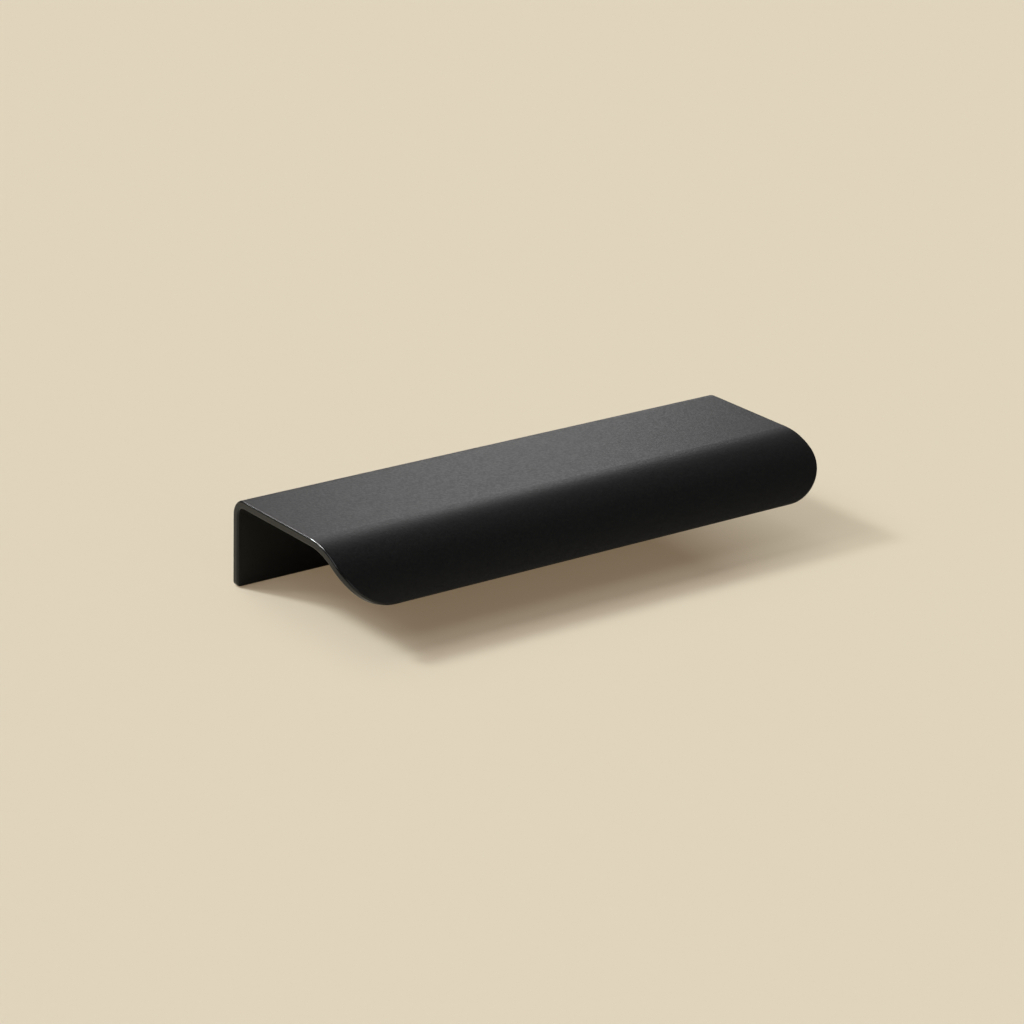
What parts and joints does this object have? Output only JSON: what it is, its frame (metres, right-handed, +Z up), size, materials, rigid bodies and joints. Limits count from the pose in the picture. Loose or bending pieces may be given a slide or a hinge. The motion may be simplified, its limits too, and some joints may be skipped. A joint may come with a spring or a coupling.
{
  "type": "cabinet edge pull",
  "caption": "Handle for the edge of a drawer front or door: a folded strip with a screwed leg behind, a flat top plate and a rolled finger lip with rounded corners.",
  "frame": {"origin": "midway between the screw holes, on the leg's inner face, which lies against the back of the panel", "axes": "+X along the panel's edge, -Y to the front, where the lip is, and +Z up, square to the top plate"},
  "size_m": [0.12, 0.0409, 0.0187],
  "materials": {
    "black_coat": "satin"
  },
  "bodies": {
    "root": {"edge_pull": "black_coat"}
  },
  "joints": []
}
